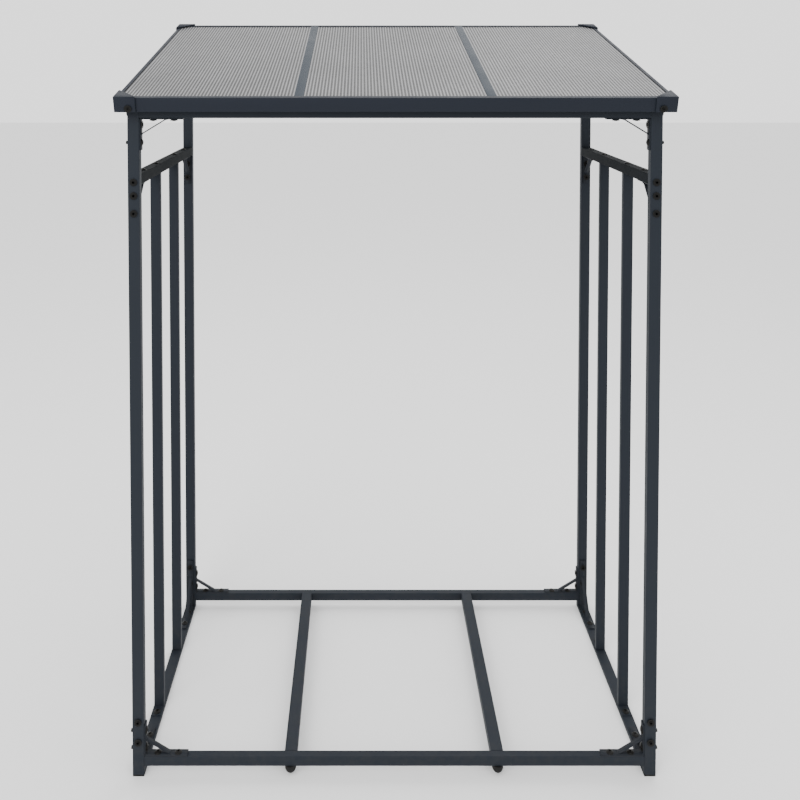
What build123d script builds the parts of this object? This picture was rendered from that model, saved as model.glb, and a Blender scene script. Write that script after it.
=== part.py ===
from build123d import *
import os
from math import cos, radians, sin, tan

# Firewood log rack: a bolted frame of powder-coated steel tubes with a sloping
# roof of twin-wall polycarbonate sheets.
# Millimetres, X across the front, Y from front to back, Z up.
# The origin is on the ground, at the middle of the whole rack.

# Overall size
overall_width = 1300.0
overall_depth = 700.0
overall_height = 1835.0
roof_slope = 16.0

# Posts, set in from the overall size at each side and at the front and rear
post_inset_side = 21.0
post_inset_end = 42.0

# Steel tubes
tube_wall = 1.5
tube_corner = 1.8
end_plate = 3.0
post_width = 28.0
post_depth = 20.0
slat_width = 26.0
slat_depth = 15.0
slats_per_side = 2
cross_tube_depth = 18.0
beam_height = 24.0
bottom_rail_height = 24.0
side_rail_height = 25.0
floor_bar_width = 30.0

# Heights
side_rail_top = 1452.0
side_rail_end_bolt = 18.0
bottom_rail_bottom = 24.0
beam_to_rafter_gap = 2.0

# Side bottom rails: upside-down channels that stand on the ground
channel_height = 10.0
channel_wall = 2.0

# Foot plate welded under each slat
slat_foot_thickness = 2.0
slat_foot_reach = 32.0
slat_foot_bolt = 20.0

# Plugs in the post feet, and the round support feet under the bottom rails
plug_flange = 4.0
plug_depth = 14.0
plug_fit = 0.2
foot_diameter = 27.0
foot_spacing = 500.0
foot_stud = 10.0
foot_lift = 4.0

# Corner brackets: legs away from the corner, hole places along them, strut feet
bracket_thickness = 3.0
bracket_width = 18.0
strut_thickness = 2.0
strut_width = 12.0
knee_beam_leg = 103.0
knee_beam_holes = (31.0, 80.0)
knee_post_leg = 76.0
knee_post_holes = (16.0, 58.0)
knee_strut = (62.0, 38.0)
side_leg = 86.0
side_post_holes = (25.0, 67.0)
side_rail_holes = (63.0,)
side_strut = (52.0, 54.0)
foot_rail_leg = 107.0
foot_rail_holes = (35.0, 85.0)
foot_post_leg = 145.0
foot_post_holes = (74.0, 123.0)
foot_strut = (60.0, 91.0)

# Roof frame
trim_thickness = 1.5
trim_flange = 14.0
side_flange = 9.0
rafter_width = 40.0
rafter_height = 25.0
cap_thickness = 4.0
cap_leg = 50.0
cap_bolt_inset = 33.0
front_cap_bolt_drop = 25.0
rear_cap_bolt_drop = 15.0

# Roof sheets and the H-joiners between them
sheet_thickness = 6.0
sheet_play = 0.3
sheet_skin = 0.5
sheet_rib = 0.5
rib_pitch = 8.0
joiner_width = 22.0
joiner_web = 2.0
joiner_spacing = 448.0

# Bolts
bolt_diameter = 8.0
bolt_clearance = 0.4
head_diameter = 17.5
head_height = 4.4
head_rim = 1.1
socket_size = 5.0
socket_depth = 2.6
bolt_end = 5.0
bolt_grip = 16.0
ground_clearance = 1.0

# Worked-out sizes
slope = radians(roof_slope)
base_width = overall_width - 2 * post_inset_side
base_depth = overall_depth - 2 * post_inset_end
post_x = (base_width - post_width) / 2
post_y = (base_depth - post_depth) / 2
outer_x = base_width / 2
outer_y = base_depth / 2
inner_x = outer_x - post_width
inner_y = outer_y - post_depth
bottom_rail_top = bottom_rail_bottom + bottom_rail_height
side_rail_bottom = side_rail_top - side_rail_height
side_rail_middle = side_rail_top - side_rail_height / 2
slat_step = (base_depth - post_depth) / (slats_per_side + 1)
slat_seat = channel_height + slat_foot_thickness

frame_height = 2 * trim_thickness + sheet_play + sheet_thickness + rafter_height
rafter_top = -(trim_thickness + sheet_play + sheet_thickness)
rafter_bottom = rafter_top - rafter_height
frame_half = overall_width / 2 - cap_thickness
cap_front = cap_thickness * (cos(slope) + sin(slope))
roof_run = overall_depth - cap_front - frame_height * sin(slope)
roof_length = roof_run / cos(slope) - cap_thickness
roof_rise = (roof_length + cap_thickness) * sin(slope) + cap_thickness * cos(slope)
roof_front_y = -overall_depth / 2 + cap_front
roof_front_z = overall_height - roof_rise
rafter_front_z = roof_front_z + rafter_bottom / cos(slope)

# The roof's own frame: x across, y up the slope, z out of the sheets, with the
# origin at the middle of the front top edge.
roof_plane = Plane(
    origin=(0, roof_front_y, roof_front_z),
    x_dir=(1, 0, 0),
    z_dir=(0, -sin(slope), cos(slope)),
)


def rafter_underside(y):
    """Height of the rafters' lower faces at a place from front to back."""
    return rafter_front_z + (y - roof_front_y) * tan(slope)


front_beam_top = rafter_underside(-outer_y) - beam_to_rafter_gap
rear_beam_top = rafter_underside(inner_y) - beam_to_rafter_gap
beam_bottoms = {-1: front_beam_top - beam_height, 1: rear_beam_top - beam_height}

# Round shapes that stand on their origin, or hang down from it
upright = (Align.CENTER, Align.CENTER, Align.MIN)
hanging = (Align.CENTER, Align.CENTER, Align.MAX)

parts = {}
bolts = {"post_bolts": [], "rail_bolts": [], "roof_bolts": []}


def block(low, high):
    """A box between two opposite corners."""
    size = [b - a for a, b in zip(low, high)]
    middle = [(a + b) / 2 for a, b in zip(low, high)]
    return Pos(*middle) * Box(*size)


def tube(width, depth, length, plates=0.0):
    """A tube along +Z with rounded corners, and end plates where they are asked for."""
    outside = extrude(RectangleRounded(width, depth, tube_corner), length)
    inner_corner = tube_corner - tube_wall / 2
    bore = RectangleRounded(width - 2 * tube_wall, depth - 2 * tube_wall, inner_corner)
    return outside - Pos(0, 0, plates) * extrude(bore, length - 2 * plates)


def along_x(start, shape):
    """Lays a shape made along +Z on the X axis, with its local Y pointing up."""
    return Plane(origin=start, x_dir=(0, 1, 0), z_dir=(1, 0, 0)).location * shape


def along_y(start, shape):
    """Lays a shape made along +Z on the Y axis, with its local X kept."""
    return Plane(origin=start, x_dir=(1, 0, 0), z_dir=(0, 1, 0)).location * shape


def add_bolt(group, seat, direction, reach):
    """Notes a bolt: the middle of its head's seat, the head's direction, its reach."""
    bolts[group].append((Vector(seat), Vector(direction), reach))


def bracket(corner, across, along, leg_a, leg_b, strut):
    """An L-shaped strip with a thin diagonal strut; leg A runs across, leg B along."""
    t = bracket_thickness
    a, b = strut
    legs = Polyline((0, 0), (leg_a, 0), (leg_a, t), (t, t), (t, leg_b), (0, leg_b), close=True)
    tie = Polyline(
        (a, t / 2),
        (a + strut_thickness, t / 2),
        (t / 2, b + strut_thickness),
        (t / 2, b),
        close=True,
    )
    flat = extrude(make_face(legs), bracket_width / 2, both=True)
    diagonal = extrude(make_face(tie), strut_width / 2, both=True)
    normal = Vector(across).cross(Vector(along))
    place = Plane(origin=corner, x_dir=across, z_dir=normal)
    return place.location * (flat + diagonal)


def mushroom_bolt(reach):
    """A socket bolt with a low round head, its seat at the origin and its head up."""
    dome = head_height - head_rim
    ball_radius = ((head_diameter / 2) ** 2 + dome**2) / (2 * dome)
    head = Cylinder(head_diameter / 2, head_height, align=upright)
    head &= Pos(0, 0, head_height - ball_radius) * Sphere(ball_radius)
    socket = RegularPolygon(socket_size / 2, 6, major_radius=False)
    head -= Pos(0, 0, head_height - socket_depth) * extrude(socket, socket_depth)
    return head + Cylinder(bolt_diameter / 2, reach, align=hanging)


def bolt_hole(seat, direction, reach):
    """The clearance hole along a bolt, a little longer than its shank."""
    hole = Cylinder((bolt_diameter + bolt_clearance) / 2, reach + 2)
    middle = seat - direction * (reach / 2)
    return Plane(origin=middle, z_dir=direction).location * hole


# Posts, their foot plugs and the brackets at each corner
for side, side_name in ((-1, "left"), (1, "right")):
    for end, end_name in ((-1, "front"), (1, "rear")):
        x = side * post_x
        y = end * post_y
        face_x = side * inner_x
        face_y = end * inner_y
        into_x = (-side, 0, 0)
        into_y = (0, -end, 0)
        beam_bottom = beam_bottoms[end]
        name = f"{end_name}_{side_name}"

        post = Pos(x, y, plug_flange) * tube(post_width, post_depth, overall_height)
        above = block(
            (-overall_width, -overall_depth, rafter_bottom),
            (overall_width, 2 * overall_depth, overall_height),
        )
        parts[f"post_{name}"] = post - roof_plane.location * above

        plug = extrude(RectangleRounded(post_width, post_depth, tube_corner), plug_flange)
        inset = 2 * (tube_wall + plug_fit)
        stem = RectangleRounded(post_width - inset, post_depth - inset, tube_corner)
        plug += extrude(stem, plug_depth)
        parts[f"foot_plug_{name}"] = Pos(x, y, 0) * plug

        # Knee under the top beam, and the beam's end bolt from outside the post
        parts[f"knee_upper_{name}"] = bracket(
            (face_x, y, beam_bottom), into_x, (0, 0, -1), knee_beam_leg, knee_post_leg, knee_strut
        )
        for place in knee_post_holes:
            seat = (face_x - side * bracket_thickness, y, beam_bottom - place)
            add_bolt("post_bolts", seat, into_x, bracket_thickness + post_width + bolt_end)
        for place in knee_beam_holes:
            seat = (face_x - side * place, y, beam_bottom - bracket_thickness)
            add_bolt("rail_bolts", seat, (0, 0, -1), bracket_thickness + bolt_grip)
        seat = (side * outer_x, y, beam_bottom + beam_height / 2)
        add_bolt("post_bolts", seat, (side, 0, 0), post_width + bolt_grip)

        # Knee on the bottom rail
        parts[f"knee_lower_{name}"] = bracket(
            (face_x, y, bottom_rail_top), into_x, (0, 0, 1), knee_beam_leg, knee_post_leg, knee_strut
        )
        for place in knee_post_holes:
            seat = (face_x - side * bracket_thickness, y, bottom_rail_top + place)
            add_bolt("post_bolts", seat, into_x, bracket_thickness + post_width + bolt_end)
        for place in knee_beam_holes:
            seat = (face_x - side * place, y, bottom_rail_top + bracket_thickness)
            add_bolt("rail_bolts", seat, (0, 0, 1), bracket_thickness + bolt_grip)

        # Bracket under the side top rail, and the rail's end bolt. The heads of the
        # bolts that run from front to back all look forwards.
        through_post = post_depth + bracket_thickness + bolt_end
        front_seat = -outer_y if end < 0 else face_y - bracket_thickness
        parts[f"side_bracket_{name}"] = bracket(
            (x, face_y, side_rail_bottom), into_y, (0, 0, -1), side_leg, side_leg, side_strut
        )
        for place in side_post_holes:
            seat = (x, front_seat, side_rail_bottom - place)
            add_bolt("post_bolts", seat, (0, -1, 0), through_post)
        for place in side_rail_holes:
            seat = (x, face_y - end * place, side_rail_top)
            reach = side_rail_height + bracket_thickness + bolt_end
            add_bolt("rail_bolts", seat, (0, 0, 1), reach)
        seat = (x, end * outer_y, side_rail_top - side_rail_end_bolt)
        add_bolt("post_bolts", seat, (0, end, 0), post_depth + bolt_grip)

        # Foot bracket from the post to the side bottom rail
        parts[f"foot_bracket_{name}"] = bracket(
            (x, face_y, channel_height), into_y, (0, 0, 1), foot_rail_leg, foot_post_leg, foot_strut
        )
        for place in foot_post_holes:
            seat = (x, front_seat, channel_height + place)
            add_bolt("post_bolts", seat, (0, -1, 0), through_post)
        for place in foot_rail_holes:
            seat = (x, face_y - end * place, channel_height + bracket_thickness)
            reach = channel_height + bracket_thickness - ground_clearance
            add_bolt("rail_bolts", seat, (0, 0, 1), reach)

# Side rails and slats
for side, side_name in ((-1, "left"), (1, "right")):
    x = side * post_x
    rail = tube(post_width, side_rail_height, 2 * inner_y, end_plate)
    parts[f"side_rail_top_{side_name}"] = along_y((x, -inner_y, side_rail_middle), rail)

    channel = block(
        (x - post_width / 2, -inner_y, 0),
        (x + post_width / 2, inner_y, channel_height),
    )
    channel -= block(
        (x - post_width / 2 + channel_wall, -inner_y, 0),
        (x + post_width / 2 - channel_wall, inner_y, channel_height - channel_wall),
    )
    parts[f"side_rail_bottom_{side_name}"] = channel

    for number in range(slats_per_side):
        # Slats follow the posts' front faces in equal steps, and their foot plates
        # point to the nearer end of the rack.
        mirrored = number >= slats_per_side / 2
        end = 1 if mirrored else -1
        steps_from_end = slats_per_side - number if mirrored else number + 1
        middle_y = end * (outer_y - steps_from_end * slat_step - slat_depth / 2)
        end_face = middle_y + end * slat_depth / 2
        length = side_rail_bottom - slat_seat
        slat = Pos(x, middle_y, slat_seat) * tube(slat_width, slat_depth, length, end_plate)
        slat += block(
            (x - slat_width / 2, min(middle_y, end_face + end * slat_foot_reach), channel_height),
            (x + slat_width / 2, max(middle_y, end_face + end * slat_foot_reach), slat_seat),
        )
        parts[f"slat_{side_name}_{number + 1}"] = slat
        seat = (x, middle_y, side_rail_top)
        add_bolt("rail_bolts", seat, (0, 0, 1), side_rail_height + bolt_grip)
        seat = (x, end_face + end * slat_foot_bolt, slat_seat)
        add_bolt("rail_bolts", seat, (0, 0, 1), slat_seat - ground_clearance)

# Top beams, bottom rails, floor bars and support feet
for end, end_name in ((-1, "front"), (1, "rear")):
    y = end * post_y
    beam = tube(cross_tube_depth, beam_height, 2 * inner_x, end_plate)
    beam_middle = beam_bottoms[end] + beam_height / 2
    parts[f"top_beam_{end_name}"] = along_x((-inner_x, y, beam_middle), beam)
    rail = tube(cross_tube_depth, bottom_rail_height, 2 * inner_x)
    rail_middle = bottom_rail_bottom + bottom_rail_height / 2
    parts[f"bottom_rail_{end_name}"] = along_x((-inner_x, y, rail_middle), rail)

    for side, side_name in ((-1, "left"), (1, "right")):
        radius = foot_diameter / 2
        dome_top = foot_lift + radius
        straight = bottom_rail_bottom - dome_top
        foot = Pos(0, 0, dome_top) * Sphere(radius, arc_size2=0, align=hanging)
        foot += Pos(0, 0, dome_top) * Cylinder(radius, straight, align=upright)
        stud_length = straight + foot_stud
        foot += Pos(0, 0, dome_top) * Cylinder(bolt_diameter / 2, stud_length, align=upright)
        foot_place = Vector(side * foot_spacing / 2, y, 0)
        parts[f"support_foot_{end_name}_{side_name}"] = Pos(foot_place) * foot
        stud_top = foot_place + Vector(0, 0, bottom_rail_bottom + foot_stud)
        stud_hole = bolt_hole(stud_top, Vector(0, 0, 1), foot_stud)
        parts[f"bottom_rail_{end_name}"] -= stud_hole

for side, side_name in ((-1, "left"), (1, "right")):
    rail_face = post_y - cross_tube_depth / 2
    start = (side * foot_spacing / 2, -rail_face, bottom_rail_bottom + bottom_rail_height / 2)
    bar = tube(floor_bar_width, bottom_rail_height, 2 * rail_face)
    parts[f"floor_bar_{side_name}"] = along_y(start, bar)

# Roof frame: a channel bent to face inwards, mitred at the four corners
half = frame_half
length = roof_length
t = trim_thickness
w = trim_flange
v = side_flange
ring = block((-half, 0, -frame_height), (half, length, 0))
ring -= block((-half + t, t, -frame_height + t), (half - t, length - t, -t))
ring -= block((-half + v, w, -frame_height), (half - v, length - w, 0))
front_outline = ((-half, 0), (half, 0), (half - v, w), (v - half, w))
rear_outline = ((-half, length), (half, length), (half - v, length - w), (v - half, length - w))
left_outline = ((-half, 0), (v - half, w), (v - half, length - w), (-half, length))
right_outline = ((half, 0), (half - v, w), (half - v, length - w), (half, length))
frame_outlines = {
    "fascia_front": front_outline,
    "fascia_rear": rear_outline,
    "side_trim_left": left_outline,
    "side_trim_right": right_outline,
}
for name, outline in frame_outlines.items():
    wedge = extrude(make_face(Polyline(*outline, close=True)), -frame_height)
    parts[name] = roof_plane.location * (ring & wedge)

# Rafters on the post tops, between the fascias
for side, side_name in ((-1, "left"), (1, "right")):
    middle_x = side * (frame_half - trim_thickness - rafter_width / 2)
    rafter = tube(rafter_width, rafter_height, roof_length - 2 * trim_thickness, end_plate)
    start = (middle_x, trim_thickness, (rafter_top + rafter_bottom) / 2)
    parts[f"rafter_{side_name}"] = roof_plane.location * along_y(start, rafter)

# H-joiners: the top flange stops at the fascias' flanges, the rest runs under them
slot_bottom = rafter_top
for side, side_name in ((-1, "left"), (1, "right")):
    x = side * joiner_spacing / 2
    joiner = block(
        (x - joiner_width / 2, trim_flange, -trim_thickness),
        (x + joiner_width / 2, roof_length - trim_flange, 0),
    )
    joiner += block(
        (x - joiner_web / 2, trim_thickness, slot_bottom),
        (x + joiner_web / 2, roof_length - trim_thickness, -trim_thickness),
    )
    joiner += block(
        (x - joiner_width / 2, trim_thickness, slot_bottom - trim_thickness),
        (x + joiner_width / 2, roof_length - trim_thickness, slot_bottom),
    )
    parts[f"joiner_{side_name}"] = roof_plane.location * joiner

# Twin-wall sheets: two skins joined by ribs that run up the slope
outer_edge = frame_half - trim_thickness - sheet_play
joiner_edge = joiner_spacing / 2 - joiner_web / 2 - sheet_play
far_edge = joiner_spacing / 2 + joiner_web / 2 + sheet_play
sheet_edges = {
    "roof_sheet_left": (-outer_edge, -far_edge),
    "roof_sheet_middle": (-joiner_edge, joiner_edge),
    "roof_sheet_right": (far_edge, outer_edge),
}
for name, (low, high) in sheet_edges.items():
    cells = round((high - low) / rib_pitch)
    pitch = (high - low - sheet_rib) / cells
    section = Rectangle(high - low, sheet_thickness)
    section -= GridLocations(pitch, 1, cells, 1) * Rectangle(
        pitch - sheet_rib, sheet_thickness - 2 * sheet_skin
    )
    start = ((low + high) / 2, trim_thickness + sheet_play, slot_bottom + sheet_thickness / 2)
    sheet = extrude(section, roof_length - 2 * (trim_thickness + sheet_play))
    parts[name] = roof_plane.location * along_y(start, sheet)

# Corner caps: two walls outside the roof frame and a three-cornered top plate
for side, side_name in ((-1, "left"), (1, "right")):
    for end, end_name in ((-1, "front"), (1, "rear")):
        edge_x = side * overall_width / 2
        edge_y = -cap_thickness if end < 0 else roof_length + cap_thickness
        corner_x = edge_x - side * cap_leg
        corner_y = edge_y - end * cap_leg
        web_x = edge_x - side * cap_thickness
        web_y = edge_y - end * cap_thickness
        walls = Polyline(
            (edge_x, edge_y),
            (corner_x, edge_y),
            (corner_x, web_y),
            (web_x, web_y),
            (web_x, corner_y),
            (edge_x, corner_y),
            close=True,
        )
        lid = Polyline(
            (edge_x, edge_y),
            (corner_x, edge_y),
            (corner_x, web_y),
            (web_x, corner_y),
            (edge_x, corner_y),
            close=True,
        )
        cap = Pos(0, 0, -frame_height) * extrude(
            make_face(walls), frame_height + cap_thickness, dir=(0, 0, 1)
        )
        cap += extrude(make_face(lid), cap_thickness, dir=(0, 0, 1))
        parts[f"corner_cap_{end_name}_{side_name}"] = roof_plane.location * cap

        bolt_x = edge_x - side * cap_bolt_inset
        drop = front_cap_bolt_drop if end < 0 else rear_cap_bolt_drop
        seat = roof_plane.from_local_coords(Vector(bolt_x, edge_y, -drop))
        outwards = roof_plane.y_dir * end
        add_bolt("roof_bolts", seat, outwards, cap_thickness + trim_thickness + bolt_grip)

# Every piece that a bolt passes through gets its clearance hole
all_bolts = [bolt for group in bolts.values() for bolt in group]
holes = [bolt_hole(*bolt) for bolt in all_bolts]
hole_boxes = [hole.bounding_box() for hole in holes]
for name, shape in parts.items():
    box = shape.bounding_box()
    for hole, near in zip(holes, hole_boxes):
        clear_x = near.max.X < box.min.X or near.min.X > box.max.X
        clear_y = near.max.Y < box.min.Y or near.min.Y > box.max.Y
        clear_z = near.max.Z < box.min.Z or near.min.Z > box.max.Z
        if not (clear_x or clear_y or clear_z):
            shape -= hole
    parts[name] = shape

made_bolts = {}
for group, places in bolts.items():
    pieces = []
    for seat, direction, reach in places:
        if reach not in made_bolts:
            made_bolts[reach] = mushroom_bolt(reach)
        place = Plane(origin=seat, z_dir=direction)
        pieces.append(place.location * made_bolts[reach])
    parts[group] = Compound(children=pieces)

os.makedirs("parts", exist_ok=True)
for name, shape in parts.items():
    export_step(shape, f"parts/{name}.step")
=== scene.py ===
import math

import bmesh
import bpy
import numpy as np
from mathutils import Matrix, Vector


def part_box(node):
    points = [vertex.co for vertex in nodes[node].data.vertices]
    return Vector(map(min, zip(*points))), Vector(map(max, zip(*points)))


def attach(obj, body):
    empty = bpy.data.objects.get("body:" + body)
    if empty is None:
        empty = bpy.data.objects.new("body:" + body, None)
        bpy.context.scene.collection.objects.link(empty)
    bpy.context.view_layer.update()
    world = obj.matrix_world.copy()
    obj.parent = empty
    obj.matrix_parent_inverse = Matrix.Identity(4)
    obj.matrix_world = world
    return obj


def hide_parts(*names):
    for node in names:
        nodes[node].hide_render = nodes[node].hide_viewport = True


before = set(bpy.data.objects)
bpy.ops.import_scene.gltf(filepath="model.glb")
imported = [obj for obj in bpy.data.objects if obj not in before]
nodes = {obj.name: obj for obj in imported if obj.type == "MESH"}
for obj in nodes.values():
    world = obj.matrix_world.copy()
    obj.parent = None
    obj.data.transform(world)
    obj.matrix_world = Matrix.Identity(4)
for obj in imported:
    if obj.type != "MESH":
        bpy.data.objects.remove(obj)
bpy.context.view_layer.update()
scene = bpy.context.scene

# Posts, slats, rails and beams: rectangular steel tubes with rolled corners, cut to
# length, welded where they carry end plates, and powder-coated in dark anthracite.
# The coat has a fine orange-peel surface and takes up dust and splashes near the ground.


def put(tree, kind, settings=None, inputs=None):
    """Adds a node, sets its settings, and fills or links its inputs."""
    node = tree.nodes.new(kind)
    for key, value in (settings or {}).items():
        setattr(node, key, value)
    for key, value in (inputs or {}).items():
        if isinstance(value, bpy.types.NodeSocket):
            tree.links.new(value, node.inputs[key])
        else:
            node.inputs[key].default_value = value
    return node


def shader_group(name, inputs, outputs):
    """An empty shader node group with named sockets."""
    tree = bpy.data.node_groups.new(name, "ShaderNodeTree")
    for label, kind, value in inputs:
        socket = tree.interface.new_socket(name=label, in_out="INPUT", socket_type=kind)
        socket.default_value = value
    for label, kind in outputs:
        tree.interface.new_socket(name=label, in_out="OUTPUT", socket_type=kind)
    source = tree.nodes.new("NodeGroupInput")
    sink = tree.nodes.new("NodeGroupOutput")
    return tree, source.outputs, sink.inputs


FLOAT = "NodeSocketFloat"
COLOR = "NodeSocketColor"
VECTOR = "NodeSocketVector"

# Powder coat: fine grain for the bump, soft patches in tone and roughness
powder_grain, grain_in, grain_out = shader_group(
    "powder_grain",
    [
        ("Position", VECTOR, (0, 0, 0)),
        ("Coat Color", COLOR, (0.05, 0.06, 0.07, 1)),
        ("Patch Color", COLOR, (0.06, 0.07, 0.08, 1)),
        ("Grain Scale", FLOAT, 700.0),
        ("Roughness Low", FLOAT, 0.5),
        ("Roughness High", FLOAT, 0.62),
    ],
    [("Color", COLOR), ("Roughness", FLOAT), ("Height", FLOAT)],
)
patches = put(
    powder_grain,
    "ShaderNodeTexNoise",
    inputs={"Vector": grain_in["Position"], "Scale": 14.0, "Detail": 5.0, "Roughness": 0.6},
)
peel = put(
    powder_grain,
    "ShaderNodeTexNoise",
    inputs={"Vector": grain_in["Position"], "Scale": grain_in["Grain Scale"], "Detail": 3.0},
)
specks = put(
    powder_grain,
    "ShaderNodeTexVoronoi",
    inputs={"Vector": grain_in["Position"], "Scale": 260.0},
)
tone = put(
    powder_grain,
    "ShaderNodeMix",
    {"data_type": "RGBA"},
    {0: patches.outputs["Fac"], "A": grain_in["Coat Color"], "B": grain_in["Patch Color"]},
)
satin = put(
    powder_grain,
    "ShaderNodeMapRange",
    inputs={
        0: patches.outputs["Fac"],
        1: 0.3,
        2: 0.7,
        3: grain_in["Roughness Low"],
        4: grain_in["Roughness High"],
    },
)
height = put(
    powder_grain,
    "ShaderNodeMath",
    {"operation": "MULTIPLY_ADD"},
    {0: specks.outputs["Distance"], 1: 0.35, 2: peel.outputs["Fac"]},
)
powder_grain.links.new(tone.outputs["Result"], grain_out["Color"])
powder_grain.links.new(satin.outputs["Result"], grain_out["Roughness"])
powder_grain.links.new(height.outputs["Value"], grain_out["Height"])

# Dust: a mask that is strong at the ground and fades upwards, broken up by noise
ground_dust, dust_in, dust_out = shader_group(
    "ground_dust",
    [("Position", VECTOR, (0, 0, 0)), ("Reach", FLOAT, 0.25), ("Amount", FLOAT, 0.5)],
    [("Mask", FLOAT)],
)
split = put(ground_dust, "ShaderNodeSeparateXYZ", inputs={0: dust_in["Position"]})
fade = put(
    ground_dust,
    "ShaderNodeMapRange",
    {"interpolation_type": "SMOOTHSTEP"},
    {0: split.outputs["Z"], 1: 0.0, 2: dust_in["Reach"], 3: 1.0, 4: 0.08},
)
splash = put(
    ground_dust,
    "ShaderNodeTexNoise",
    inputs={"Vector": dust_in["Position"], "Scale": 55.0, "Detail": 8.0, "Roughness": 0.7},
)
broken = put(
    ground_dust,
    "ShaderNodeMapRange",
    inputs={0: splash.outputs["Fac"], 1: 0.42, 2: 0.75, 3: 0.0, 4: 1.0},
)


def combined(tree, operation, a, b):
    """The sum, product or other result of two values."""
    return put(tree, "ShaderNodeMath", {"operation": operation}, {0: a, 1: b}).outputs[0]


mask = combined(ground_dust, "MULTIPLY", fade.outputs[0], broken.outputs[0])
scaled = combined(ground_dust, "MULTIPLY", mask, dust_in["Amount"])
ground_dust.links.new(scaled, dust_out["Mask"])

dust_color = (0.05, 0.046, 0.040, 1)
dust_reach = 0.3
dust_dulling = 0.4


def coated(
    name,
    color,
    patch,
    rough_low=0.5,
    rough_high=0.62,
    dust=0.2,
    grain=700.0,
    depth=0.00006,
    gloss=0.14,
):
    """A coat with grain and soft patches, and dust near the ground; depth is the bump's."""
    material = bpy.data.materials.new(name)
    material.use_nodes = True
    tree = material.node_tree
    shader = tree.nodes["Principled BSDF"]
    place = put(tree, "ShaderNodeTexCoord").outputs["Object"]
    coat = put(
        tree,
        "ShaderNodeGroup",
        {"node_tree": powder_grain},
        {
            "Position": place,
            "Coat Color": (*color, 1),
            "Patch Color": (*patch, 1),
            "Grain Scale": grain,
            "Roughness Low": rough_low,
            "Roughness High": rough_high,
        },
    )
    dirt = put(
        tree,
        "ShaderNodeGroup",
        {"node_tree": ground_dust},
        {"Position": place, "Reach": dust_reach, "Amount": dust},
    )
    dusty = put(
        tree,
        "ShaderNodeMix",
        {"data_type": "RGBA"},
        {0: dirt.outputs["Mask"], "A": coat.outputs["Color"], "B": dust_color},
    )
    dull = put(
        tree,
        "ShaderNodeMath",
        {"operation": "MULTIPLY_ADD", "use_clamp": True},
        {0: dirt.outputs["Mask"], 1: dust_dulling, 2: coat.outputs["Roughness"]},
    )
    bump = put(
        tree,
        "ShaderNodeBump",
        inputs={"Strength": 0.5, "Distance": depth, "Height": coat.outputs["Height"]},
    )
    shader.inputs["Specular IOR Level"].default_value = gloss
    tree.links.new(dusty.outputs["Result"], shader.inputs["Base Color"])
    tree.links.new(dull.outputs["Value"], shader.inputs["Roughness"])
    tree.links.new(bump.outputs["Normal"], shader.inputs["Normal"])
    return material


def finish_node(name, material):
    """Gives a CAD node a finish."""
    nodes[name].data.materials.clear()
    nodes[name].data.materials.append(material)


anthracite = coated("anthracite_coat", (0.0095, 0.0125, 0.0175), (0.0120, 0.0155, 0.0215))
tube_kinds = ("post_front", "post_rear", "slat_", "top_beam", "bottom_rail")
tube_kinds += ("side_rail", "floor_bar", "rafter")
for name in nodes:
    if name.startswith(tube_kinds):
        finish_node(name, anthracite)
# The side top rails get a flatter, darker coat than the posts beside them
rail_coat = coated(
    "side_rail_coat", (0.0055, 0.0072, 0.0085), (0.0070, 0.0090, 0.0110), 0.62, 0.72, gloss=0.03
)
finish_node("side_rail_top_left", rail_coat)
finish_node("side_rail_top_right", rail_coat)

# Corner brackets: flat steel strips bent to an L, with a thinner strip welded across
# the corner as a strut. They are coated like the tubes and bolted to them.


def geometry_tree(name, inputs):
    """An empty Geometry Nodes tree with named inputs and one geometry output."""
    tree = bpy.data.node_groups.new(name, "GeometryNodeTree")
    for label, kind in inputs:
        tree.interface.new_socket(name=label, in_out="INPUT", socket_type=kind)
    tree.interface.new_socket(name="Geometry", in_out="OUTPUT", socket_type="NodeSocketGeometry")
    source = tree.nodes.new("NodeGroupInput")
    sink = tree.nodes.new("NodeGroupOutput")
    return tree, source.outputs, sink.inputs["Geometry"]


def grown(name, tree, values, base=None):
    """Runs a tree on a base mesh and keeps the result as a plain mesh object."""
    piece = bpy.data.objects.new(name, base or bpy.data.meshes.new(name))
    scene.collection.objects.link(piece)
    modifier = piece.modifiers.new(name, "NODES")
    modifier.node_group = tree
    for item in tree.interface.items_tree:
        if item.in_out == "INPUT" and item.name in values:
            modifier[item.identifier] = values[item.name]
    graph = bpy.context.evaluated_depsgraph_get()
    mesh = bpy.data.meshes.new_from_object(piece.evaluated_get(graph))
    piece.modifiers.remove(modifier)
    piece.data = mesh
    return piece


def point_cloud(name, places, turns, **extra):
    """A mesh of loose points that carry a turn and any other values for each point."""
    mesh = bpy.data.meshes.new(name)
    mesh.from_pydata([tuple(p) for p in places], [], [])
    aim = mesh.attributes.new("aim", "FLOAT_VECTOR", "POINT")
    aim.data.foreach_set("vector", [c for turn in turns for c in turn.to_euler()])
    for label, values in extra.items():
        column = mesh.attributes.new(label, "FLOAT", "POINT")
        column.data.foreach_set("value", values)
    return mesh


GEOMETRY = "NodeSocketGeometry"
MATERIAL = "NodeSocketMaterial"
INTEGER = "NodeSocketInt"
OBJECT = "NodeSocketObject"

bracket_tree, bracket_in, bracket_out = geometry_tree(
    "strip_bracket",
    [
        ("Corners", GEOMETRY),
        ("Leg Across", FLOAT),
        ("Leg Along", FLOAT),
        ("Strip Width", FLOAT),
        ("Strip Thickness", FLOAT),
        ("Bend Radius", FLOAT),
        ("Strut Across", FLOAT),
        ("Strut Along", FLOAT),
        ("Strut Width", FLOAT),
        ("Strut Thickness", FLOAT),
        ("Weld Radius", FLOAT),
        ("Finish", MATERIAL),
    ],
)


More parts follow.
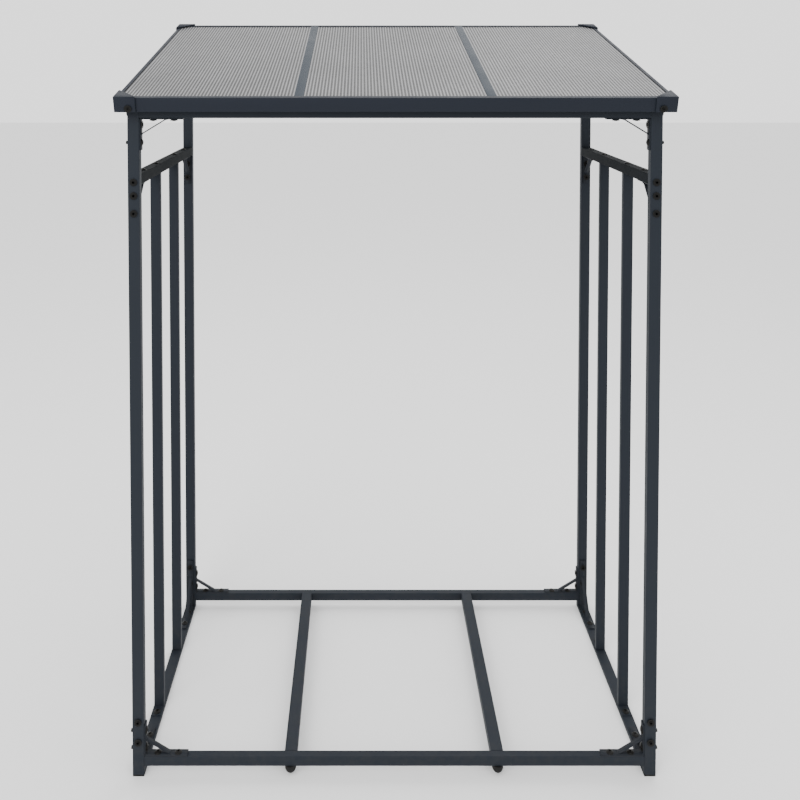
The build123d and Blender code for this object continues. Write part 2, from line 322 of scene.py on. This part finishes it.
def sized(tree, x=0.0, y=0.0, z=0.0):
    """A vector made of three values."""
    return put(tree, "ShaderNodeCombineXYZ", inputs={0: x, 1: y, 2: z}).outputs[0]


def strip(tree, points, width, thickness, radius):
    """A flat strip swept along straight runs whose corners are rounded."""
    line = put(tree, "GeometryNodeCurvePrimitiveLine").outputs["Curve"]
    runs = put(tree, "GeometryNodeResampleCurve", inputs={"Curve": line, "Count": len(points)})
    index = put(tree, "GeometryNodeInputIndex").outputs["Index"]
    switch = put(tree, "GeometryNodeIndexSwitch", {"data_type": "VECTOR"})
    for _ in range(len(points) - 2):
        switch.index_switch_items.new()
    tree.links.new(index, switch.inputs["Index"])
    for number, point in enumerate(points):
        tree.links.new(point, switch.inputs[str(number)])
    moved = put(
        tree,
        "GeometryNodeSetPosition",
        inputs={"Geometry": runs.outputs[0], "Position": switch.outputs["Output"]},
    )
    path = moved.outputs[0]
    bend_steps = 5
    if radius is not None:
        path = put(
            tree,
            "GeometryNodeFilletCurve",
            {"mode": "POLY"},
            {"Curve": path, "Radius": radius, "Count": bend_steps},
        ).outputs[0]
    up = put(tree, "GeometryNodeSetCurveNormal", {"mode": "Z_UP"}, {"Curve": path})
    profile = put(
        tree,
        "GeometryNodeCurvePrimitiveQuadrilateral",
        inputs={"Width": thickness, "Height": width},
    )
    swept = put(
        tree,
        "GeometryNodeCurveToMesh",
        inputs={"Curve": up.outputs[0], "Profile Curve": profile.outputs[0], "Fill Caps": True},
    )
    return swept.outputs[0]


def aimed(tree):
    """The turn that each point carries."""
    aim = put(
        tree, "GeometryNodeInputNamedAttribute", {"data_type": "FLOAT_VECTOR"}, {"Name": "aim"}
    )
    turn = put(tree, "FunctionNodeEulerToRotation", inputs={0: aim.outputs["Attribute"]})
    return turn.outputs[0]


def finished(tree, instances, material, output):
    """Makes the instances real, gives them their finish and sends them out."""
    real = put(tree, "GeometryNodeRealizeInstances", inputs={0: instances})
    final = put(tree, "GeometryNodeSetMaterial", inputs={0: real.outputs[0], "Material": material})
    tree.links.new(final.outputs[0], output)


# The strip's middle line runs half a thickness away from the tubes it lies on
tree = bracket_tree
half_strip = combined(tree, "MULTIPLY", bracket_in["Strip Thickness"], 0.5)
angle_strip = strip(
    tree,
    [
        sized(tree, bracket_in["Leg Across"], half_strip),
        sized(tree, half_strip, half_strip),
        sized(tree, half_strip, bracket_in["Leg Along"]),
    ],
    bracket_in["Strip Width"],
    bracket_in["Strip Thickness"],
    bracket_in["Bend Radius"],
)
strut_a = sized(tree, bracket_in["Strut Across"], half_strip)
strut_b = sized(tree, half_strip, bracket_in["Strut Along"])
strut_strip = strip(
    tree, [strut_a, strut_b], bracket_in["Strut Width"], bracket_in["Strut Thickness"], None
)
weld_runs = []
half_strut = combined(tree, "MULTIPLY", bracket_in["Strut Width"], 0.5)
minus_half = combined(tree, "MULTIPLY", bracket_in["Strut Width"], -0.5)
strip_face = bracket_in["Strip Thickness"]
weld_sides = 8
for across, along in (
    (bracket_in["Strut Across"], strip_face),
    (strip_face, bracket_in["Strut Along"]),
):
    bead = put(
        tree,
        "GeometryNodeCurvePrimitiveLine",
        inputs={
            "Start": sized(tree, across, along, minus_half),
            "End": sized(tree, across, along, half_strut),
        },
    )
    ring = put(
        tree,
        "GeometryNodeCurvePrimitiveCircle",
        inputs={"Resolution": weld_sides, "Radius": bracket_in["Weld Radius"]},
    )
    swept = put(
        tree,
        "GeometryNodeCurveToMesh",
        inputs={"Curve": bead.outputs[0], "Profile Curve": ring.outputs[0], "Fill Caps": True},
    )
    weld_runs.append(swept.outputs[0])
whole = put(tree, "GeometryNodeJoinGeometry")
for part in (angle_strip, strut_strip, *weld_runs):
    tree.links.new(part, whole.inputs[0])
placed = put(
    tree,
    "GeometryNodeInstanceOnPoints",
    inputs={
        "Points": bracket_in["Corners"],
        "Instance": whole.outputs[0],
        "Rotation": aimed(tree),
    },
)
finished(tree, placed.outputs[0], bracket_in["Finish"], bracket_out)


def limits(name):
    """Lowest corner, highest corner and middle of a CAD node."""
    low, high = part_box(name)
    return low, high, (low + high) / 2


def bracket_places(names, leg_axis, rise):
    """Corner and turn of each bracket: one leg on leg_axis inwards, one up or down."""
    corners, turns = [], []
    for name in names:
        low, high, middle = limits(name)
        corner = middle.copy()
        side = -1 if middle[leg_axis] < 0 else 1
        corner[leg_axis] = (low if side < 0 else high)[leg_axis]
        corner.z = low.z if rise > 0 else high.z
        across = Vector((0, 0, 0))
        across[leg_axis] = -side
        along = Vector((0, 0, rise))
        turn = Matrix((across, along, across.cross(along))).transposed()
        corners.append(corner)
        turns.append(turn)
    return corners, turns


bracket_coat = coated(
    "bracket_coat", (0.0075, 0.0098, 0.0140), (0.0098, 0.0125, 0.0175), 0.48, 0.6
)
corner_names = ["front_left", "front_right", "rear_left", "rear_right"]
# Name, axis of the flat leg, direction of the upright leg, strut feet across and along
bracket_kinds = [
    ("knee_upper", 0, -1, 0.063, 0.039),
    ("knee_lower", 0, 1, 0.063, 0.039),
    ("side_bracket", 1, -1, 0.053, 0.055),
    ("foot_bracket", 1, 1, 0.061, 0.092),
]
strip_thickness = 0.003
bend_radius = 0.0035
strut_width = 0.012
strut_thickness = 0.002
weld_radius = 0.0016
for kind, leg_axis, rise, strut_across, strut_along in bracket_kinds:
    names = [f"{kind}_{corner}" for corner in corner_names]
    low, high, _ = limits(names[0])
    corners, turns = bracket_places(names, leg_axis, rise)
    brackets = grown(
        f"{kind}_set",
        bracket_tree,
        {
            "Leg Across": (high - low)[leg_axis],
            "Leg Along": (high - low).z,
            "Strip Width": (high - low)[1 - leg_axis],
            "Strip Thickness": strip_thickness,
            "Bend Radius": bend_radius,
            "Strut Across": strut_across,
            "Strut Along": strut_along,
            "Strut Width": strut_width,
            "Strut Thickness": strut_thickness,
            "Weld Radius": weld_radius,
            "Finish": bracket_coat,
        },
        point_cloud(f"{kind}_corners", corners, turns),
    )
    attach(brackets, "root")
    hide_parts(*names)

# Bolts: black coated mushroom-head socket bolts that hold every joint. The heads are
# low domes on a thin rim with a hexagon socket, and the threads end just past the tubes.
bolt_black = coated(
    "bolt_black",
    (0.0030, 0.0030, 0.0028),
    (0.0045, 0.0045, 0.0042),
    0.34,
    0.46,
    dust=0.08,
    grain=1100.0,
)
bolt_sides = 24
head_radius = 0.00875
head_height = 0.0044
rim_height = 0.0011
shank_radius = 0.004
socket_apothem = 0.0025
socket_depth = 0.0026
socket_cone = 0.0006
thread_pitch = 0.00125
thread_depth = 0.0004
thread_turns = 7


def turned(name, rings, sides=bolt_sides):
    """A turned shape: rings of radius, height and whether the ring is a hexagon."""
    mesh = bmesh.new()
    loops = []
    for radius, level, hexagon in rings:
        loop = []
        for step in range(sides):
            angle = 2 * math.pi * step / sides
            off_flat = (angle + math.pi / 6) % (math.pi / 3) - math.pi / 6
            reach = radius / math.cos(off_flat) if hexagon else radius
            loop.append(mesh.verts.new((reach * math.cos(angle), reach * math.sin(angle), level)))
        loops.append(loop)
    for lower, upper in zip(loops, loops[1:]):
        for step in range(sides):
            after = (step + 1) % sides
            mesh.faces.new((lower[step], lower[after], upper[after], upper[step]))
    mesh.faces.new(list(reversed(loops[0])))
    mesh.faces.new(loops[-1])
    data = bpy.data.meshes.new(name)
    mesh.to_mesh(data)
    mesh.free()
    for face in data.polygons:
        face.use_smooth = True
    data.set_sharp_from_angle(angle=math.radians(35))
    piece = bpy.data.objects.new(name, data)
    scene.collection.objects.link(piece)
    return piece


dome_steps = 5
dome_height = head_height - rim_height
ball = (head_radius**2 + dome_height**2) / (2 * dome_height)
socket_mouth = socket_apothem * 1.22
edge_break = 0.0003
head_rings = [
    (shank_radius, -0.001, False),
    (shank_radius, 0, False),
    (head_radius - edge_break, 0, False),
    (head_radius, edge_break, False),
    (head_radius, rim_height, False),
]
for step in range(1, dome_steps + 1):
    radius = head_radius + (socket_mouth - head_radius) * step / dome_steps
    level = head_height - ball + math.sqrt(ball**2 - radius**2)
    head_rings.append((radius, level, False))
mouth_level = head_rings[-1][1]
head_rings.append((socket_apothem, mouth_level - edge_break, True))
head_rings.append((socket_apothem, mouth_level - socket_depth, True))
head_rings.append((0.0004, mouth_level - socket_depth - socket_cone, False))
bolt_head = turned("bolt_head", head_rings)
bolt_shank = turned("bolt_shank", [(shank_radius, -1, False), (shank_radius, 0, False)])
thread_start = 0.0008
thread_lead_in = 0.0012
thread_rings = [(shank_radius - thread_lead_in, 0, False)]
for turn_number in range(thread_turns):
    start = thread_start + turn_number * thread_pitch
    thread_rings.append((shank_radius - thread_depth, start, False))
    thread_rings.append((shank_radius + 0.00005, start + thread_pitch / 2, False))
thread_end = thread_start + thread_turns * thread_pitch
thread_rings.append((shank_radius - thread_depth, thread_end, False))
bolt_thread = turned("bolt_thread", thread_rings)

bolt_tree, bolt_in, bolt_out = geometry_tree(
    "placed_bolts",
    [
        ("Seats", GEOMETRY),
        ("Head", OBJECT),
        ("Shank", OBJECT),
        ("Thread", OBJECT),
        ("Twist Seed", INTEGER),
        ("Finish", MATERIAL),
    ],
)
tree = bolt_tree
reach = put(tree, "GeometryNodeInputNamedAttribute", {"data_type": "FLOAT"}, {"Name": "reach"})
turn = aimed(tree)
twist = put(
    tree,
    "FunctionNodeRandomValue",
    {"data_type": "FLOAT"},
    {2: 0.0, 3: 2 * math.pi, "Seed": bolt_in["Twist Seed"]},
)
spin = put(tree, "FunctionNodeAxisAngleToRotation", inputs={0: (0, 0, 1), 1: twist.outputs[1]})
both = put(
    tree,
    "FunctionNodeRotateRotation",
    {"rotation_space": "LOCAL"},
    {0: turn, 1: spin.outputs[0]},
)
minus_reach = combined(tree, "MULTIPLY", reach.outputs["Attribute"], -1.0)
down = put(tree, "FunctionNodeRotateVector", inputs={0: sized(tree, z=minus_reach), 1: turn})
ends = put(
    tree,
    "GeometryNodeSetPosition",
    inputs={"Geometry": bolt_in["Seats"], "Offset": down.outputs[0]},
)
stretch = sized(tree, 1.0, 1.0, reach.outputs["Attribute"])
whole = put(tree, "GeometryNodeJoinGeometry")
for points, part, scale in (
    (bolt_in["Seats"], "Head", (1, 1, 1)),
    (bolt_in["Seats"], "Shank", stretch),
    (ends.outputs[0], "Thread", (1, 1, 1)),
):
    shape = put(tree, "GeometryNodeObjectInfo", inputs={"Object": bolt_in[part]})
    copies = put(
        tree,
        "GeometryNodeInstanceOnPoints",
        inputs={
            "Points": points,
            "Instance": shape.outputs["Geometry"],
            "Rotation": both.outputs[0],
            "Scale": scale,
        },
    )
    tree.links.new(copies.outputs[0], whole.inputs[0])
finished(tree, whole.outputs[0], bolt_in["Finish"], bolt_out)

roof_slope = math.radians(16.0)
slope_up = Vector((0, math.cos(roof_slope), math.sin(roof_slope)))
bolt_directions = []
for line in (Vector((1, 0, 0)), Vector((0, -1, 0)), Vector((0, 0, 1)), slope_up):
    bolt_directions += [line, -line]


def islands(name):
    """The separate solids of a CAD node, each as an array of its corners."""
    mesh = bmesh.new()
    mesh.from_mesh(nodes[name].data)
    bmesh.ops.remove_doubles(mesh, verts=mesh.verts, dist=1e-6)
    seen = set()
    groups = []
    for start in mesh.verts:
        if start in seen:
            continue
        seen.add(start)
        group, edge = [], [start]
        while edge:
            corner = edge.pop()
            group.append(corner.co.copy())
            for link in corner.link_edges:
                other = link.other_vert(corner)
                if other not in seen:
                    seen.add(other)
                    edge.append(other)
        groups.append(np.array(group))
    mesh.free()
    return groups


def bolt_place(points):
    """Seat, direction and reach of one bolt, read from the corners of its solid."""
    best = None
    for direction in bolt_directions:
        turn = direction.to_track_quat("Z", "Y").to_matrix()
        local = points @ np.array(turn)
        middle = (local.min(0) + local.max(0)) / 2
        radial = np.hypot(local[:, 0] - middle[0], local[:, 1] - middle[1])
        wide = local[radial > shank_radius * 1.5][:, 2]
        seat_level = wide.min()
        reach = seat_level - local[:, 2].min()
        # The right direction has the narrowest outline and the head on the far end
        key = (radial.max(), -reach)
        if best is None or key < best[0]:
            seat = turn @ Vector((middle[0], middle[1], seat_level))
            best = (key, seat, turn, reach)
    return best[1:]


for number, group in enumerate(("post_bolts", "rail_bolts", "roof_bolts")):
    found = [bolt_place(points) for points in islands(group)]
    bolts = grown(
        f"{group}_socket_heads",
        bolt_tree,
        {
            "Head": bolt_head,
            "Shank": bolt_shank,
            "Thread": bolt_thread,
            "Twist Seed": number + 1,
            "Finish": bolt_black,
        },
        point_cloud(
            f"{group}_seats",
            [seat for seat, _, _ in found],
            [turn for _, turn, _ in found],
            reach=[length for _, _, length in found],
        ),
    )
    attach(bolts, "root")
    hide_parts(group)
for pattern in (bolt_head, bolt_shank, bolt_thread):
    bpy.data.objects.remove(pattern)

# Roof frame: thin folded channels, mitred at the corners, with joiner strips between
# the sheets. The edges are folded, so each has a small round.


def softened(name, radius, shortest=0.006, ending="_folded"):
    """A copy of a CAD piece with its triangles joined and its long edges rounded."""
    mesh = bmesh.new()
    mesh.from_mesh(nodes[name].data)
    bmesh.ops.remove_doubles(mesh, verts=mesh.verts, dist=1e-6)
    bmesh.ops.dissolve_limit(
        mesh,
        angle_limit=math.radians(0.5),
        verts=mesh.verts,
        edges=mesh.edges,
        delimit={"NORMAL"},
    )
    sharp = []
    for edge in mesh.edges:
        folded = edge.is_manifold and edge.calc_face_angle(0) > math.radians(30)
        if folded and edge.calc_length() > shortest:
            sharp.append(edge)
    bmesh.ops.bevel(
        mesh,
        geom=sharp,
        offset=radius,
        segments=2,
        profile=0.5,
        affect="EDGES",
        clamp_overlap=True,
    )
    bmesh.ops.triangulate(mesh, faces=[face for face in mesh.faces if len(face.verts) > 4])
    data = bpy.data.meshes.new(name + ending)
    mesh.to_mesh(data)
    mesh.free()
    for face in data.polygons:
        face.use_smooth = True
    data.set_sharp_from_angle(angle=math.radians(40))
    piece = bpy.data.objects.new(name + ending, data)
    scene.collection.objects.link(piece)
    return piece


trim_coat = coated(
    "trim_coat", (0.0072, 0.0096, 0.0152), (0.0092, 0.0120, 0.0186), 0.46, 0.58, dust=0.1
)
strip_coat = coated(
    "joiner_coat", (0.018, 0.024, 0.032), (0.022, 0.029, 0.038), 0.46, 0.58, dust=0.1
)
fold_radius = 0.0006
strip_radius = 0.0004
cap_radius = 0.0012
for name, material, radius in (
    ("fascia_front", trim_coat, fold_radius),
    ("fascia_rear", trim_coat, fold_radius),
    ("side_trim_left", trim_coat, fold_radius),
    ("side_trim_right", trim_coat, fold_radius),
    ("joiner_left", strip_coat, strip_radius),
    ("joiner_right", strip_coat, strip_radius),
    ("corner_cap_front_left", trim_coat, cap_radius),
    ("corner_cap_front_right", trim_coat, cap_radius),
    ("corner_cap_rear_left", trim_coat, cap_radius),
    ("corner_cap_rear_right", trim_coat, cap_radius),
):
    piece = softened(name, radius)
    piece.data.materials.append(material)
    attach(piece, "root")
    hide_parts(name)

# Roof sheets: extruded twin-wall polycarbonate in smoked grey. Two thin skins are joined
# by a rib every few millimetres, and the skins sink in slightly between the ribs. The
# sheets lie in the channels and joiners, and rest on the rafters.
fascia_flange = 0.014
fascia_low, fascia_high, _ = limits("fascia_front")
front_edge = fascia_high.z - fascia_flange * math.sin(roof_slope)
roof_origin = Vector((0, fascia_low.y, front_edge))
roof_place = Matrix.Translation(roof_origin) @ Matrix.Rotation(roof_slope, 4, "X")


def roof_limits(name):
    """Lowest and highest corner of a CAD node, measured along the slope."""
    back = roof_place.inverted()
    corners = np.array([back @ v.co for v in nodes[name].data.vertices])
    return Vector(corners.min(0)), Vector(corners.max(0))


sheet_tree, sheet_in, sheet_out = geometry_tree(
    "twin_wall_sheet",
    [
        ("Seat", GEOMETRY),
        ("Width", FLOAT),
        ("Length", FLOAT),
        ("Thickness", FLOAT),
        ("Skin", FLOAT),
        ("Flutes", INTEGER),
        ("Dip", FLOAT),
        ("Finish", MATERIAL),
    ],
)
tree = sheet_tree
pitch = combined(tree, "DIVIDE", sheet_in["Width"], sheet_in["Flutes"])
steps_per_flute = 4
steps_across = put(
    tree,
    "FunctionNodeIntegerMath",
    {"operation": "MULTIPLY_ADD"},
    {0: sheet_in["Flutes"], 1: steps_per_flute, 2: 1},
)
skin_box = put(
    tree,
    "GeometryNodeMeshCube",
    inputs={
        "Size": sized(tree, sheet_in["Width"], sheet_in["Length"], sheet_in["Skin"]),
        "Vertices X": steps_across.outputs[0],
        "Vertices Y": 6,
        "Vertices Z": 2,
    },
)
spot = put(tree, "GeometryNodeInputPosition").outputs[0]
across = put(tree, "ShaderNodeSeparateXYZ", inputs={0: spot}).outputs["X"]
half_width = combined(tree, "MULTIPLY", sheet_in["Width"], 0.5)
flute_place = combined(tree, "DIVIDE", combined(tree, "ADD", across, half_width), pitch)
wave = combined(tree, "MULTIPLY", flute_place, 2 * math.pi)
arch = put(tree, "ShaderNodeMath", {"operation": "COSINE"}, {0: wave}).outputs[0]
arch = combined(tree, "MULTIPLY", combined(tree, "SUBTRACT", 1.0, arch), sheet_in["Dip"])
noted = put(
    tree,
    "GeometryNodeStoreNamedAttribute",
    {"data_type": "FLOAT", "domain": "POINT"},
    {"Geometry": skin_box.outputs[0], "Name": "flute", "Value": flute_place},
)
gap = combined(tree, "SUBTRACT", sheet_in["Thickness"], sheet_in["Skin"])
skins = put(tree, "GeometryNodeJoinGeometry")
for side in (0.5, -0.5):
    level = combined(tree, "MULTIPLY", gap, side)
    # At the ribs the sheet has its full thickness, and between them the skins dip
    inward = combined(tree, "MULTIPLY", arch, -2 * side)
    lift = combined(tree, "ADD", level, inward)
    skin = put(
        tree,
        "GeometryNodeSetPosition",
        inputs={"Geometry": noted.outputs[0], "Offset": sized(tree, z=lift)},
    )
    tree.links.new(skin.outputs[0], skins.inputs[0])
rib_count = put(
    tree, "FunctionNodeIntegerMath", {"operation": "ADD"}, {0: sheet_in["Flutes"], 1: 1}
)
rib_span = combined(tree, "SUBTRACT", sheet_in["Width"], sheet_in["Skin"])
first = combined(tree, "MULTIPLY", rib_span, -0.5)
last = combined(tree, "MULTIPLY", first, -1.0)
rib_line = put(
    tree,
    "GeometryNodeMeshLine",
    {"mode": "END_POINTS", "count_mode": "TOTAL"},
    {
        "Count": rib_count.outputs[0],
        "Start Location": sized(tree, first),
        "Offset": sized(tree, last),
    },
)
rib_box = put(
    tree,
    "GeometryNodeMeshCube",
    inputs={"Size": sized(tree, sheet_in["Skin"], sheet_in["Length"], gap)},
)
ribs = put(
    tree,
    "GeometryNodeInstanceOnPoints",
    inputs={"Points": rib_line.outputs[0], "Instance": rib_box.outputs[0]},
)
tree.links.new(ribs.outputs[0], skins.inputs[0])
placed = put(
    tree,
    "GeometryNodeInstanceOnPoints",
    inputs={
        "Points": sheet_in["Seat"],
        "Instance": skins.outputs[0],
        "Rotation": aimed(tree),
    },
)
finished(tree, placed.outputs[0], sheet_in["Finish"], sheet_out)

polycarbonate = bpy.data.materials.new("smoked_polycarbonate")
polycarbonate.use_nodes = True
tree = polycarbonate.node_tree
shader = tree.nodes["Principled BSDF"]
flute = put(tree, "ShaderNodeAttribute", {"attribute_name": "flute"}).outputs["Fac"]
phase = put(tree, "ShaderNodeMath", {"operation": "FRACT"}, {0: flute}).outputs[0]
# Stripes across the sheet are painted light and shade: the rib lines are the ribs' own thicker
# tint darkened with painted shade, and the flutes get painted light
painted_flute_light_and_shade = put(tree, "ShaderNodeValToRGB", inputs={0: phase})
ramp = painted_flute_light_and_shade.color_ramp
rib_tint_and_painted_shade = (0.022, 0.022, 0.023, 1)
for end, position in zip(ramp.elements, (0.0, 1.0)):
    end.position = position
    end.color = rib_tint_and_painted_shade
# Between the ribs each flute has one pale band: painted light for the light that comes through the
# clear flute
for position, value in ((0.24, 0.035), (0.42, 0.18), (0.62, 0.18), (0.80, 0.035)):
    ramp.elements.new(position).color = (value, value, value * 1.02, 1)
place = put(tree, "ShaderNodeTexCoord").outputs["Object"]
haze = put(tree, "ShaderNodeTexNoise", inputs={"Vector": place, "Scale": 6.0, "Detail": 4.0})
haze_level = put(
    tree, "ShaderNodeMapRange", inputs={0: haze.outputs["Fac"], 1: 0.3, 2: 0.7, 3: 0.9, 4: 1.1}
)
hazed = put(
    tree,
    "ShaderNodeMix",
    {"data_type": "RGBA", "blend_type": "MULTIPLY"},
    {0: 1.0, "A": painted_flute_light_and_shade.outputs["Color"], "B": haze_level.outputs[0]},
)
sheen_spots = put(
    tree, "ShaderNodeTexNoise", inputs={"Vector": place, "Scale": 90.0, "Detail": 2.0}
)
sheen_level = put(
    tree,
    "ShaderNodeMapRange",
    inputs={0: sheen_spots.outputs["Fac"], 1: 0.3, 2: 0.7, 3: 0.36, 4: 0.48},
)
shader.inputs["Specular IOR Level"].default_value = 0.2
tree.links.new(hazed.outputs["Result"], shader.inputs["Base Color"])
tree.links.new(sheen_level.outputs[0], shader.inputs["Roughness"])

flute_width = 0.008
skin_thickness = 0.0005
skin_dip = 0.00012
for name in ("roof_sheet_left", "roof_sheet_middle", "roof_sheet_right"):
    low, high = roof_limits(name)
    size = high - low
    middle = roof_place @ ((low + high) / 2)
    sheet = grown(
        name + "_twin_wall",
        sheet_tree,
        {
            "Width": size.x,
            "Length": size.y,
            "Thickness": size.z,
            "Skin": skin_thickness,
            "Flutes": round(size.x / flute_width),
            "Dip": skin_dip,
            "Finish": polycarbonate,
        },
        point_cloud(name + "_seat", [middle], [roof_place.to_3x3()]),
    )
    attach(sheet, "root")
    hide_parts(name)

# Foot plugs and round support feet: moulded black plastic, matte from the mould. The
# plugs are pressed into the post ends. Each support foot is a dome with a seam round
# its widest part, moulded on a stud that screws into the rail above it.
black_plastic = coated(
    "moulded_black", (0.006, 0.006, 0.006), (0.009, 0.009, 0.009), grain=420.0, depth=0.0002
)
mould_radius = 0.0008
for name in [f"foot_plug_{corner}" for corner in corner_names]:
    plug = softened(name, mould_radius, ending="_moulded")
    plug.data.materials.append(black_plastic)
    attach(plug, "root")
    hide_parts(name)

foot_names = [f"support_foot_{corner}" for corner in corner_names]
foot_low, foot_high, _ = limits(foot_names[0])
foot_radius = (foot_high - foot_low).x / 2
stud_length = 0.010
shoulder = (foot_high - foot_low).z - stud_length
seam = 0.0004
foot_sides = 40
foot_rings = []
for degrees in range(9, 91, 9):
    angle = math.radians(degrees)
    reach, level = foot_radius * math.sin(angle), foot_radius * (1 - math.cos(angle))
    foot_rings.append((reach, level, False))
foot_rings += [
    (foot_radius - seam, foot_radius + seam, False),
    (foot_radius - seam, foot_radius + 3 * seam, False),
    (foot_radius, foot_radius + 4 * seam, False),
    (foot_radius, shoulder - 2 * seam, False),
    (foot_radius - 2 * seam, shoulder, False),
    (shank_radius, shoulder, False),
    (shank_radius, shoulder + stud_length - 2 * seam, False),
    (shank_radius - 2 * seam, shoulder + stud_length, False),
]
foot_pattern = turned("foot_pattern", foot_rings, foot_sides)
foot_tree, foot_in, foot_out = geometry_tree(
    "placed_feet", [("Seats", GEOMETRY), ("Foot", OBJECT), ("Finish", MATERIAL)]
)
tree = foot_tree
shape = put(tree, "GeometryNodeObjectInfo", inputs={"Object": foot_in["Foot"]})
placed = put(
    tree,
    "GeometryNodeInstanceOnPoints",
    inputs={"Points": foot_in["Seats"], "Instance": shape.outputs["Geometry"]},
)
finished(tree, placed.outputs[0], foot_in["Finish"], foot_out)
seats = []
for name in foot_names:
    low, _, middle = limits(name)
    seats.append(Vector((middle.x, middle.y, low.z)))
feet = grown(
    "support_feet_turned",
    foot_tree,
    {"Foot": foot_pattern, "Finish": black_plastic},
    point_cloud("support_feet_seats", seats, [Matrix.Identity(3)] * len(seats)),
)
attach(feet, "root")
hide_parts(*foot_names)
bpy.data.objects.remove(foot_pattern)

# Studio: a wide pale floor, even white light all round, two soft lights from the front
# left and from above, and a camera in front of the rack, nearly as high as its roof.
far = 20
floor_mesh = bpy.data.meshes.new("floor")
floor_corners = [(-far, -far, 0), (far, -far, 0), (far, far, 0), (-far, far, 0)]
floor_mesh.from_pydata(floor_corners, [], [(0, 1, 2, 3)])
floor = bpy.data.objects.new("floor", floor_mesh)
scene.collection.objects.link(floor)
floor_material = bpy.data.materials.new("pale_floor")
floor_material.use_nodes = True
floor_shader = floor_material.node_tree.nodes["Principled BSDF"]
floor_shader.inputs["Base Color"].default_value = (0.80, 0.80, 0.80, 1)
floor_shader.inputs["Roughness"].default_value = 0.9
floor_mesh.materials.append(floor_material)

world = bpy.data.worlds.new("studio")
scene.world = world
world.use_nodes = True
background = world.node_tree.nodes["Background"]
background.inputs["Color"].default_value = (1.0, 1.0, 1.0, 1)
background.inputs["Strength"].default_value = 1.8


def soft_light(name, place, target, size, power):
    """A square area light that looks at a point."""
    data = bpy.data.lights.new(name, "AREA")
    data.size = size
    data.energy = power
    light = bpy.data.objects.new(name, data)
    light.location = place
    light.rotation_euler = (Vector(target) - Vector(place)).to_track_quat("-Z", "Y").to_euler()
    scene.collection.objects.link(light)


soft_light("key_light", (-2.2, -3.5, 3.6), (0, 0, 0.9), 2.5, 120)
soft_light("top_light", (0.8, 0.6, 4.2), (0, 0, 1.0), 3.0, 90)

camera_data = bpy.data.cameras.new("camera")
camera_data.sensor_width = 36.0
camera_data.lens = 36.4
camera_data.shift_x = 0.04875
camera_data.shift_y = -0.395
camera = bpy.data.objects.new("camera", camera_data)
camera.location = (-0.080, -2.2025, 1.7216)
camera.rotation_euler = (math.radians(88.3), 0, 0)
scene.collection.objects.link(camera)
scene.camera = camera
